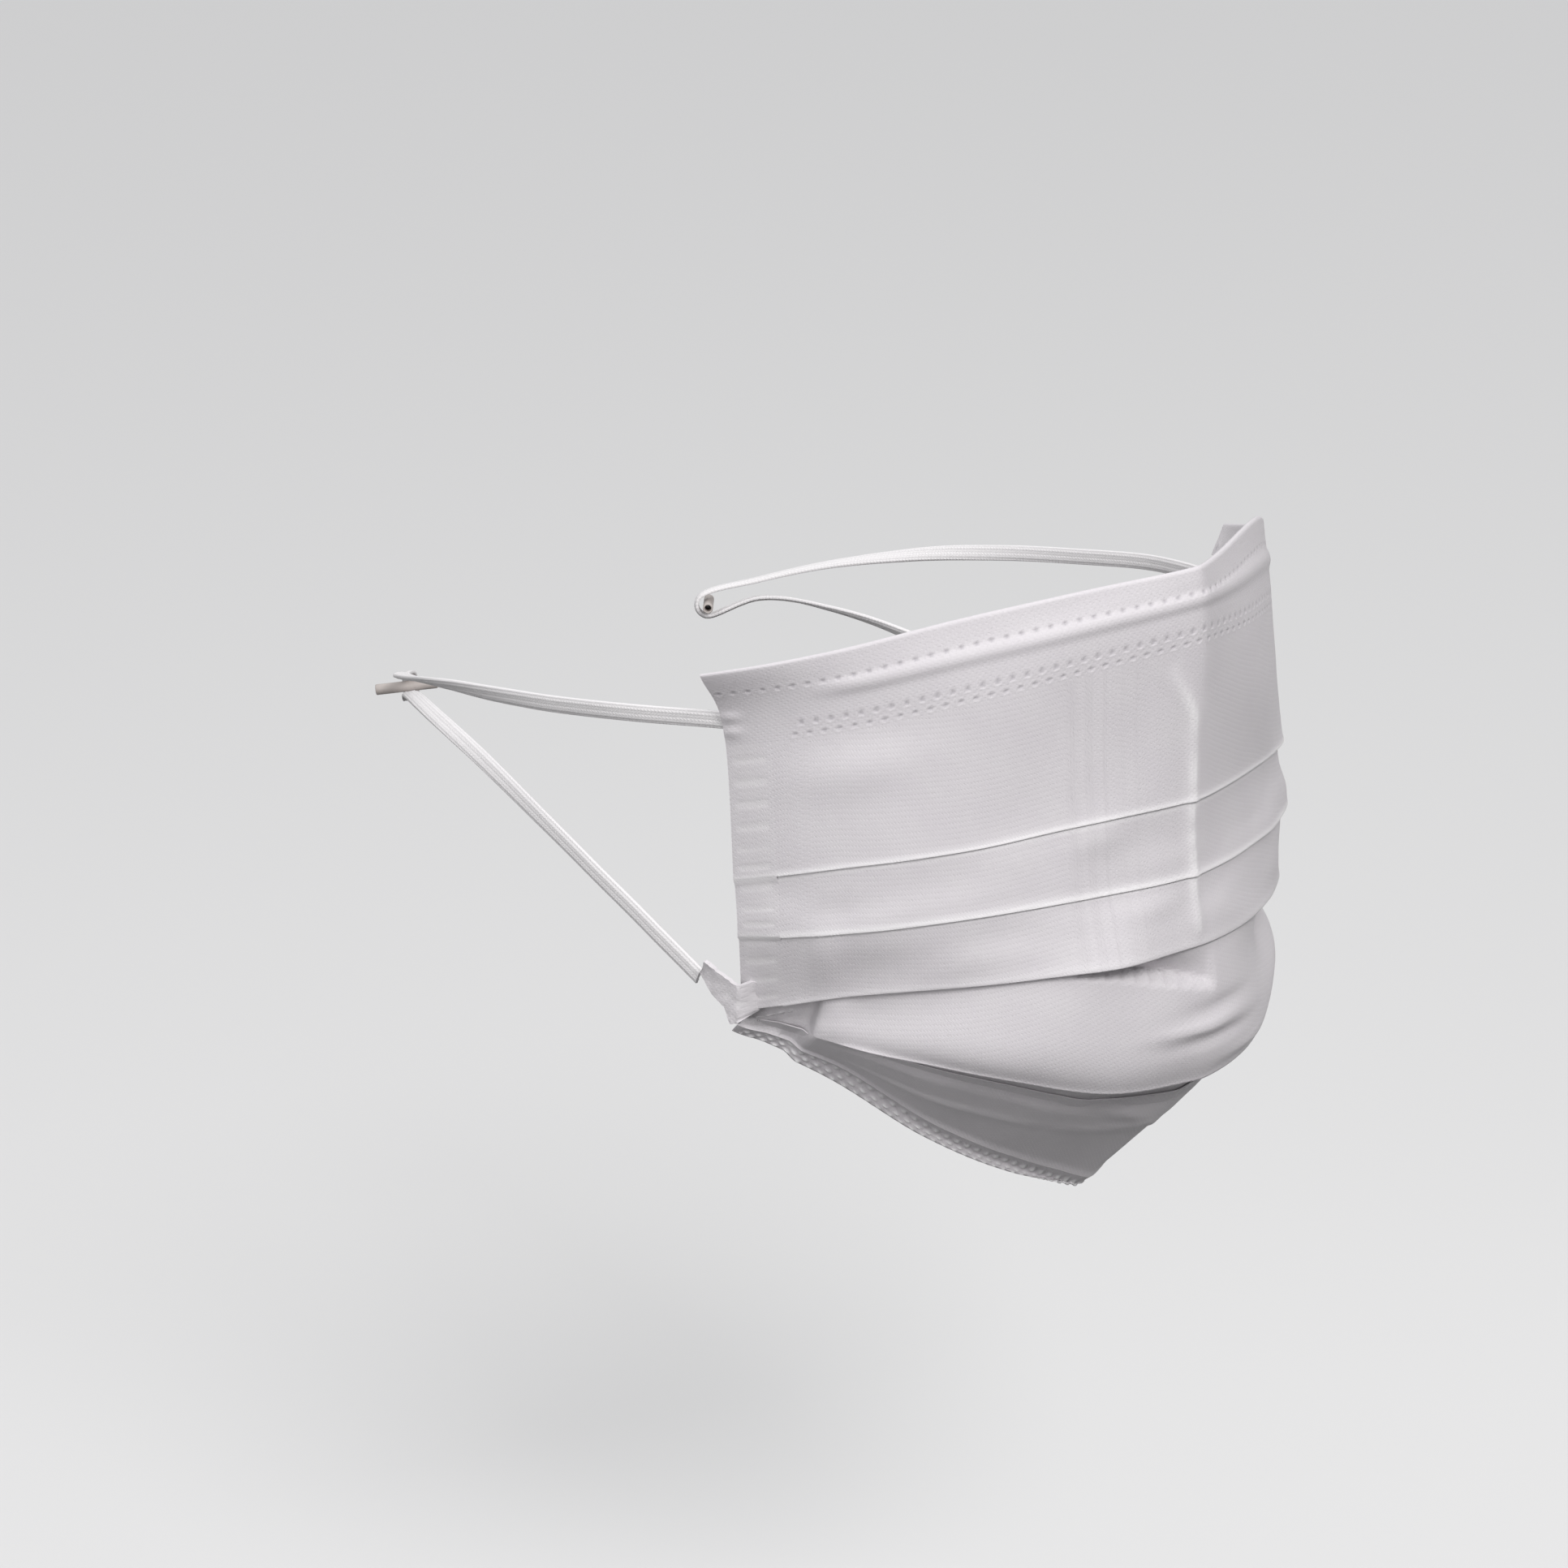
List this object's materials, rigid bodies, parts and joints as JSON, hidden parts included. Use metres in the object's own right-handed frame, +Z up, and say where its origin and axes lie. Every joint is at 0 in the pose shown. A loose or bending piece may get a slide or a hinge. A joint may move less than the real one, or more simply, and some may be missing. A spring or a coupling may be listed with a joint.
{
  "type": "surgical face mask",
  "caption": "Pleated surgical face mask in its worn form, with nose band, chin hem, side seams and two elastic ear loops.",
  "frame": {"origin": "on the inner face of the nose band, where it sits on the bridge of the nose", "axes": "+Z up, the wearer faces -Y, the wearer's right is at -X"},
  "size_m": [0.135, 0.168, 0.1177],
  "materials": {
    "nonwoven": "satin",
    "elastic": "matte",
    "pin": "satin"
  },
  "bodies": {
    "root": {"mask_panel": "nonwoven", "nose_band": "nonwoven", "chin_hem": "nonwoven", "side_seam_right": "nonwoven", "side_seam_left": "nonwoven", "ear_loop_right": "elastic", "ear_loop_left": "elastic", "loop_tab_right": "elastic", "loop_tab_left": "elastic", "loop_pin_right": "pin", "loop_pin_left": "pin"}
  },
  "joints": []
}
